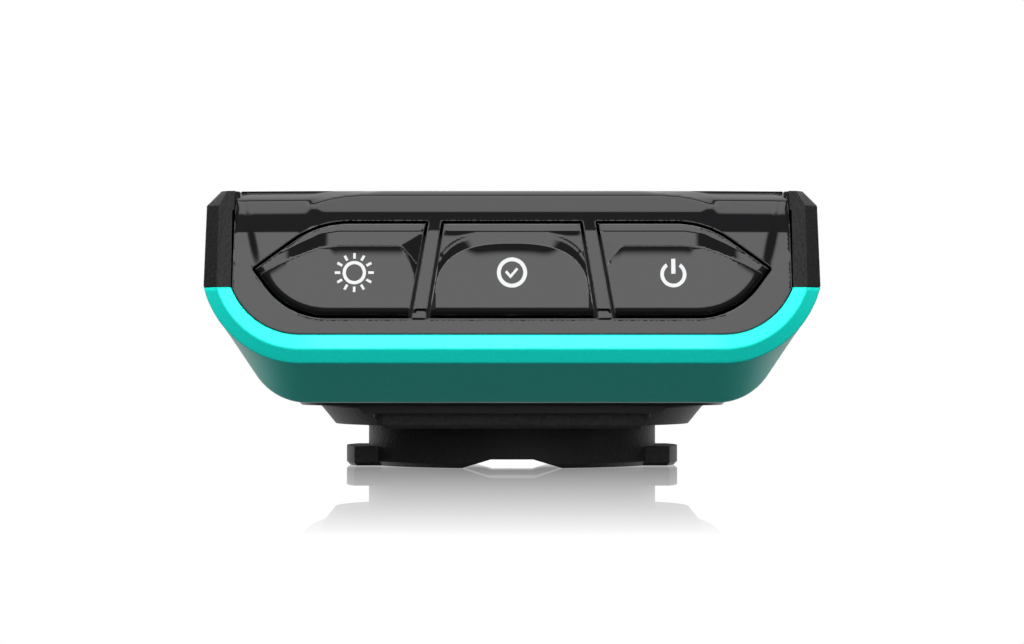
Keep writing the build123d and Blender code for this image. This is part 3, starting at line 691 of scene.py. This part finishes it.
# creases and slopes run through (distance from the middle, level or slope)
sideKey = {
    "bandFoot": [(14.2, 20.35), (15.75, 20.1), (16.4, 19.77), (17.45, 19.3), (19.3, 18.36), (20.3, 17.77),
                 (21.3, 17.2)],
    "scoopEdge": [(7.3, 16.2), (7.75, 17.5), (8.2, 18.2), (9.03, 19.13), (14.1, 19.13), (15.75, 18.95),
                  (16.8, 18.6), (17.96, 18.14), (19.15, 17.6), (20.3, 17.0), (21.3, 16.4)],
    "bandSlope": [(14.6, 0.02), (15.6, 0.26), (17.6, 0.26), (18.6, 0.08), (21.5, 0.0)],
    "cornerLeft": 0.34, "cornerRight": 0.1, "cornerX": 7.2, "cornerZ": 20.3, "cornerAcross": 0.52,
    "cornerUp": 0.853, "cornerEndX": 9.05,
}
keyEdge = {"width": 0.62, "bend": 1.5, "heelZ": 17.0, "dividerX": 8.4, "footZ": 13.6, "points": 160}


def bandLines(ax):
    # heights of the two creases of a side key: foot of the upper band, and edge of the scooped face
    return [np.interp(ax, *np.transpose(sideKey[line])) for line in ("bandFoot", "scoopEdge")]


def lowerBevel(x, z, loop):
    # rounded edge along the foot and heel: deeper with the square of the distance past its start
    e, ax, level = keyEdge, np.abs(loop[:, 0]), loop[:, 1]
    low = resample(loop[(level < e["heelZ"]) & ((ax > e["dividerX"]) | (level < e["footZ"]))], e["points"])
    far = nearestDistance(np.stack([x, z], -1), [low])
    return e["bend"] * np.maximum(0, e["width"] - far) ** 2


def scooped(sunk, below, floor):
    # the depth at a crease runs on to the scooped floor, and the rest dies off below the crease
    return sunk + (floor - sunk) * (1 - np.exp(-below / keyPlan["fade"]))


def grooveAt(z, level):
    # 1 on a line, falling straight to 0 at half a groove's width from it
    return np.maximum(0, 1 - np.abs(z - level) / keyPlan["groove"])


def sideKeyDepth(side):
    # the face plus a sloping band, then a scooped floor; gives the depth function and the cap's outline
    loop = keyLoop(side, keyPlan["gap"])
    weight = sideKey["cornerLeft"] if side < 0 else sideKey["cornerRight"]
    turned = loop if side > 0 else loop[::-1] * np.array([-1, 1])

    def depth(x, z):
        ax, k, s = np.abs(x), keyPlan, sideKey
        upper, lower = bandLines(ax)
        slope = np.interp(ax, *np.transpose(s["bandSlope"]))
        t = np.clip((upper - z) / (upper - lower), 0, 1)
        # near the divider a flat corner falls away from the line between the two creases
        fall = (s["cornerX"] - ax) * s["cornerAcross"] + (s["cornerZ"] - np.maximum(z, lower)) * s["cornerUp"]
        sunk = np.where(ax < s["cornerEndX"], weight * np.maximum(0, fall), slope * t)
        sunk = scooped(sunk, np.maximum(0, lower - z), k["floor"])
        groove = k["grooveDepth"] * grooveAt(z, upper) - k["ridge"] * grooveAt(z, lower)
        return faceY(x, z) + sunk + groove + lowerBevel(ax, z, turned)
    return depth, loop


middleKey = {
    # each arch: power, half width, rise, level of its foot
    "inner": (2.6, 6.25, 4.45, 14.9), "outer": (2.8, 6.6, 5.83, 14.5),
    "bandZ": 20.33, "bandHalf": 5.6, "cornerSunk": 0.12, "cornerFade": 0.25,
    "cornerFrom": 0.98, "cornerWide": 0.05,
    "flat": 0.02, "side": 0.25, "sideFrom": 2.4, "sideWide": 2.6,
    "scoop": 5.0, "extraFloor": 0.05,
}


def arches(x, z):
    # both arches of the middle key as powers of the distance from their centres: 1 on the curve
    values = []
    for power, half, rise, foot in (middleKey["inner"], middleKey["outer"]):
        up = (np.maximum(z, foot + 0.01) - foot) / rise
        values.append(((np.abs(x) / half) ** power + up ** power) ** (1 / power))
    return values


def middleKeyDepth():
    # the face plus sunk corners, a band between two arches and a scooped floor
    loop = keyLoop(0, keyPlan["gap"])

    def depth(x, z):
        k, m = keyPlan, middleKey
        inner, outer = arches(x, z)
        corner = m["cornerSunk"] * (1 - np.exp(-np.maximum(0, m["bandZ"] - z) / m["cornerFade"]))
        corner = corner * smooth((outer - m["cornerFrom"]) / m["cornerWide"])
        t = np.clip((1.0 - outer) / np.maximum(1e-3, (1.0 - outer) + (inner - 1.0)), 0, 1)
        sideways = smooth((np.abs(x) - m["sideFrom"]) / m["sideWide"])
        band = (m["flat"] + m["side"] * sideways) * t * (outer < 1)
        below = np.maximum(0, 1 - inner) * m["scoop"]
        sunk = scooped(np.maximum(corner, band), below, k["floor"] + m["extraFloor"])
        groove = k["grooveDepth"] * grooveAt(z, m["bandZ"])
        return faceY(x, z) + sunk + groove + lowerBevel(x, z, loop)
    return depth, loop


def creaseSet(curve):
    # a crease with one line above and one below it, half a groove away
    half = keyPlan["groove"]
    return [curve + [0, half], curve, curve - [0, half]]


def archCurve(power, half, rise, foot):
    # superellipse from its left foot over the top to its right foot
    a = np.linspace(0.0, pi, 70)
    x = -half * np.sign(np.cos(a)) * np.abs(np.cos(a)) ** (2 / power)
    z = foot + rise * np.sin(a) ** (2 / power)
    return np.stack([x, z], -1)[z > foot + 0.1]


def circle(x, z, r, n=48):
    # evenly spaced points at one distance from the middle
    a = np.linspace(0, 2 * pi, n, endpoint=False)
    return np.stack([x + r * np.cos(a), z + r * np.sin(a)], -1)


def bar(x0, z0, x1, z1, wide):
    # outline of a straight stroke with square ends
    p, q = np.array([x0, z0]), np.array([x1, z1])
    along = (q - p) / np.linalg.norm(q - p)
    across = np.array([-along[1], along[0]]) * wide / 2
    return np.array([p - across, q - across, q + across, p + across])


marks = {
    "light": {"at": (-12.9, 16.94), "ring": (0.96, 0.69),
              "rays": 12, "rayFrom": 1.14, "rayTo": 1.6, "wide": 0.21},
    "ok": {"at": (0.0, 16.95), "ring": (1.24, 0.92),
           "tick": [(-0.58, 0.03), (-0.42, 0.18), (-0.13, -0.17), (0.36, 0.40), (0.52, 0.26), (-0.13, -0.50)]},
    "power": {"at": (13.2, 16.8), "ring": (1.07, 0.77), "opening": 0.6,
              "barFrom": 0.05, "barTo": 1.28, "wide": 0.34},
    "thick": 0.06, "raised": 0.03, "mesh": 0.15,
}


def markLoops(kind):
    # sun with twelve rays, tick in a ring, or power sign
    m = marks[kind]
    (x, z), (outer, inner) = m["at"], m["ring"]
    if kind == "power":
        a = np.linspace(pi / 2 + m["opening"], 2.5 * pi - m["opening"], 44)
        ring = np.stack([np.cos(a), np.sin(a)], -1)
        arc = np.concatenate([ring * outer, ring[::-1] * inner]) + [x, z]
        return [arc, bar(x, z + m["barFrom"], x, z + m["barTo"], m["wide"])]
    rings = [circle(x, z, outer), circle(x, z, inner)]
    if kind == "ok":
        return rings + [np.array(m["tick"]) + [x, z]]
    p, q = m["rayFrom"], m["rayTo"]
    return rings + [bar(x + p * cos(a), z + p * sin(a), x + q * cos(a), z + q * sin(a), m["wide"])
                    for a in np.arange(m["rays"]) * 2 * pi / m["rays"]]


def finishGloss(obj, body, slot, node, highlightPaintMaterial):
    # gloss all over, with the narrow edge faces and the faces along a lit line in a lighter grey: a painted
    # highlight
    obj.data.materials.append(materials["glossBlack"])
    obj.data.materials.append(materials[highlightPaintMaterial])
    return place(obj, body, slot, node)


capPlan = {
    "thick": 1.7, "mesh": 0.17, "bevel": 0.07, "drop": 0.06, "creaseInset": 0.14,
    "creaseFromX": 7.3, "creaseToX": 20.9, "archSpread": 0.008, "archRise": 0.03,
}


def sideLines(side):
    # creases of a side key, and the edge of its scoop where a highlight is painted
    ax = np.linspace(capPlan["creaseFromX"], capPlan["creaseToX"], 60)
    upper, lower = (np.stack([side * ax, level], -1) for level in bandLines(ax))
    return creaseSet(upper) + creaseSet(lower), lower


def middleLines():
    # straight crease and arch of the middle key, and the arch where a highlight is painted
    spread, up = capPlan["archSpread"], [0, capPlan["archRise"]]
    xs = np.linspace(-middleKey["bandHalf"], middleKey["bandHalf"], 40)
    lit = archCurve(*middleKey["inner"])
    arch = [lit * [1 + spread, 1] + up, lit, lit * [1 - spread, 1] - up]
    return creaseSet(np.stack([xs, xs * 0 + middleKey["bandZ"]], -1)) + arch, lit


def makePanel():
    # the panel with its three apertures, as one slab
    p = panelPlan
    loops = [panelLoop()] + [keyLoop(side)[::-1] for side in (-1, 0, 1)]
    panel = slabRegion("frontPanel", loops, p["mesh"], panelDepth, p["thick"], p["bevel"], p["drop"],
                       limit=lambda z: np.where(z > p["thinAboveZ"], p["thinRearY"], slabMake["far"]))
    finishGloss(panel, "case", "gloss_black", "front_panel", "paintedHighlightGrey")
    return panel


def makeKey(side, name):
    # a cap with its creases, and its printed mark just proud of it
    c = capPlan
    depth, loop = sideKeyDepth(side) if side else middleKeyDepth()
    lines, lit = sideLines(side) if side else middleLines()
    inner = offsetLoop(loop, c["creaseInset"])
    lines = [line[insideLoops(line, [inner])] for line in lines]
    lines = [line for line in lines if len(line) > 2]
    # the cap's rim and the faces along the lit curve take the lighter grey of a painted highlight
    cap = slabRegion(name + "Cap", [loop], c["mesh"], depth, c["thick"], c["bevel"], c["drop"], lines,
                     light=resample(lit, 400))
    finishGloss(cap, name + "_key", "gloss_black", name + "_button", "paintedHighlightGrey")
    mark = slabRegion(name + "Mark", markLoops(name), marks["mesh"], lambda x, z: depth(x, z) - marks["raised"],
                      marks["thick"])
    mark.data.materials.append(materials["whitePrint"])
    place(mark, name + "_key", "white_print", name + "_icon")


frontPanel = makePanel()
for side, name in ((-1, "light"), (0, "ok"), (1, "power")):
    makeKey(side, name)
print("panel and keys done")

camera = {"lens": 154.7, "sensor": 36.0, "near": 0.01, "back": 400.0, "height": 12.9}    # back and height in mm
camData = bpy.data.cameras.new("camera")
camData.lens = camera["lens"]
camData.sensor_width = camera["sensor"]
camData.clip_start = camera["near"]
camObj = bpy.data.objects.new("camera", camData)
camObj.location = (0, -camera["back"] * mm, camera["height"] * mm)
camObj.rotation_euler = (pi / 2, 0, 0)
bpy.context.scene.collection.objects.link(camObj)
bpy.context.scene.camera = camObj
bpy.context.scene.view_settings.view_transform = "Standard"


undersidePieces = [frame["nodes"][node] for node in ("mount", "port_cover", "base_plate")]
studio = {
    "aim": (0, 0, 0.015), "ambient": 0.045,
    # tilt from and to, its soft edge; aside from and to, its soft edge; radiance
    "bands": [
        (25, 43, 11, -30, 22, 20, 2.85),
        (90, 106, 8, -26, 26, 12, 1.9),
        (156, 170, 6, -40, 40, 20, 0.6),
        (-10, 60, 15, 62, 80, 10, 0.35),
        (-10, 60, 15, -80, -62, 10, 0.15),
    ],
    # elevation, azimuth, distance, width, height, radiance, and the only pieces lit
    "lamps": {
        "keyLight": (27, 0, 0.9, 0.5, 0.4, 21, None),
        "lowLight": (2, 12, 0.9, 0.6, 0.3, 7, undersidePieces),
        "backLight": (35, 180, 0.9, 0.5, 0.4, 7, None),
        "leftLight": (20, -50, 0.9, 0.4, 0.4, 4, [lowerShell]),
        "rightLight": (20, 50, 0.9, 0.4, 0.4, 4, [lowerShell]),
    },
}


def softbox(name, elevation, azimuth, distance, width, height, radiance):
    # area light aimed at the device: elevation above the floor, azimuth 0 in front of the keys
    data = bpy.data.lights.new(name, "AREA")
    data.shape = "RECTANGLE"
    data.size = width
    data.size_y = height
    data.energy = radiance * pi * width * height
    obj = bpy.data.objects.new(name, data)
    e, a = radians(elevation), radians(azimuth)
    spot = Vector((sin(a) * cos(e), -cos(a) * cos(e), sin(e))) * distance + Vector(studio["aim"])
    obj.location = spot
    obj.rotation_euler = (Vector(studio["aim"]) - spot).to_track_quat("-Z", "Y").to_euler()
    obj.visible_camera = False
    bpy.context.scene.collection.objects.link(obj)
    return obj


def patch(tree, angle, low, high, soft):
    # 1 between two angles in degrees, falling to 0 over a soft width outside them
    rise = mathNode(tree, "MULTIPLY_ADD", angle, 1 / soft, (soft - low) / soft, clamp=True)
    fall = mathNode(tree, "MULTIPLY_ADD", angle, -1 / soft, (high + soft) / soft, clamp=True)
    both = mathNode(tree, "MULTIPLY", rise, fall)
    square = mathNode(tree, "MULTIPLY", both, both)
    return mathNode(tree, "MULTIPLY", square, mathNode(tree, "MULTIPLY_ADD", both, -2.0, 3.0))


def glowSum(tree, direction):
    # soft-edged studio lights as bands of direction: tilt is the angle from the front horizon over
    # the top towards the back, aside is the angle out of the middle plane
    split = addNode(tree, "ShaderNodeSeparateXYZ")
    tree.links.new(direction, split.inputs[0])
    x, y, z = split.outputs
    toFront = mathNode(tree, "MULTIPLY", y, -1.0)
    tilt = mathNode(tree, "MULTIPLY", mathNode(tree, "ARCTAN2", z, toFront), 180 / pi)
    aside = mathNode(tree, "MULTIPLY", mathNode(tree, "ARCSINE", x), 180 / pi)
    total = None
    for low, high, soft, left, right, edge, level in studio["bands"]:
        upright, across = patch(tree, tilt, low, high, soft), patch(tree, aside, left, right, edge)
        value = mathNode(tree, "MULTIPLY", mathNode(tree, "MULTIPLY", upright, across), level)
        total = value if total is None else mathNode(tree, "ADD", total, value)
    return mathNode(tree, "ADD", total, studio["ambient"])


for name, (*setting, only) in studio["lamps"].items():
    lamp = softbox(name, *setting)
    lamp.visible_glossy = False
    if only:
        lit = bpy.data.collections.new(name + "Pieces")
        for piece in only:
            lit.objects.link(piece)
        lamp.light_linking.receiver_collection = lit

world = bpy.data.worlds.new("studio")
world.use_nodes = True
bpy.context.scene.world = world
tree = world.node_tree
back = tree.nodes["Background"]
paths = addNode(tree, "ShaderNodeLightPath")
coords = addNode(tree, "ShaderNodeTexCoord")
seen = addNode(tree, "ShaderNodeMix", data_type="FLOAT")
seen.inputs["B"].default_value = 1.0
tree.links.new(glowSum(tree, coords.outputs["Generated"]), seen.inputs["A"])
# the sharp floor mirror sees the white studio, while the glossy pieces see the soft bands
plain = mathNode(tree, "MAXIMUM", paths.outputs["Is Camera Ray"], paths.outputs["Is Singular Ray"])
tree.links.new(plain, seen.inputs["Factor"])
tree.links.new(seen.outputs["Result"], back.inputs["Strength"])
back.inputs["Color"].default_value = (1, 1, 1, 1)


stage = {
    "floorSize": 2.2, "floorZ": -0.00002,
    "mirror": 0.75, "falloff": 0.75,              # greatest share of the mirror image, and its power
    "fadeEnd": 0.133, "fadeLength": 0.117,        # radius where the image is gone, and how far it fades
    "aheadEdge": 0.02,                            # width of the image's edge under the device
    "backSize": 4.0, "backAt": (0, 1.3, 0.5),
}


def stagePlane(name, size, location, rotation):
    # square of the studio that glows white: its object, node tree and glow
    half = size / 2
    mesh = bpy.data.meshes.new(name)
    corners = [(-half, -half, 0), (half, -half, 0), (half, half, 0), (-half, half, 0)]
    mesh.from_pydata(corners, [], [(0, 1, 2, 3)])
    obj = bpy.data.objects.new(name, mesh)
    obj.location = location
    obj.rotation_euler = rotation
    bpy.context.scene.collection.objects.link(obj)
    mat = bpy.data.materials.new(name + "White")
    mat.use_nodes = True
    mat.node_tree.nodes.remove(mat.node_tree.nodes["Principled BSDF"])
    glow = addNode(mat.node_tree, "ShaderNodeEmission")
    mat.node_tree.links.new(glow.outputs[0], mat.node_tree.nodes["Material Output"].inputs["Surface"])
    obj.data.materials.append(mat)
    obj.visible_diffuse = False
    return obj, mat.node_tree, glow


floor, tree, glow = stagePlane("floor", stage["floorSize"], (0, 0, stage["floorZ"]), (0, 0, 0))
floor.visible_glossy = False
mirror = addNode(tree, "ShaderNodeBsdfGlossy", in_Roughness=0.0, in_Color=(1, 1, 1, 1))
blend = addNode(tree, "ShaderNodeMixShader")
coords = addNode(tree, "ShaderNodeTexCoord")
far = addNode(tree, "ShaderNodeVectorMath", operation="LENGTH")
floorAt = addNode(tree, "ShaderNodeSeparateXYZ")
tree.links.new(coords.outputs["Object"], far.inputs[0])
tree.links.new(coords.outputs["Object"], floorAt.inputs[0])
near = mathNode(tree, "MULTIPLY_ADD", far.outputs["Value"], -1 / stage["fadeLength"],
                stage["fadeEnd"] / stage["fadeLength"], clamp=True)
share = mathNode(tree, "MULTIPLY", mathNode(tree, "POWER", near, stage["falloff"]), stage["mirror"])
# only the polished strip in front of the device mirrors it
ahead = mathNode(tree, "MULTIPLY_ADD", floorAt.outputs["Y"], -1 / stage["aheadEdge"], 0.5, clamp=True)
share = mathNode(tree, "MULTIPLY", share, ahead)
tree.links.new(share, blend.inputs["Fac"])
tree.links.new(glow.outputs[0], blend.inputs[1])
tree.links.new(mirror.outputs[0], blend.inputs[2])
tree.links.new(blend.outputs[0], tree.nodes["Material Output"].inputs["Surface"])

# white wall behind, which only reflections see
backdrop = stagePlane("backdrop", stage["backSize"], stage["backAt"], (pi / 2, 0, 0))[0]
backdrop.visible_camera = False
print("studio done")
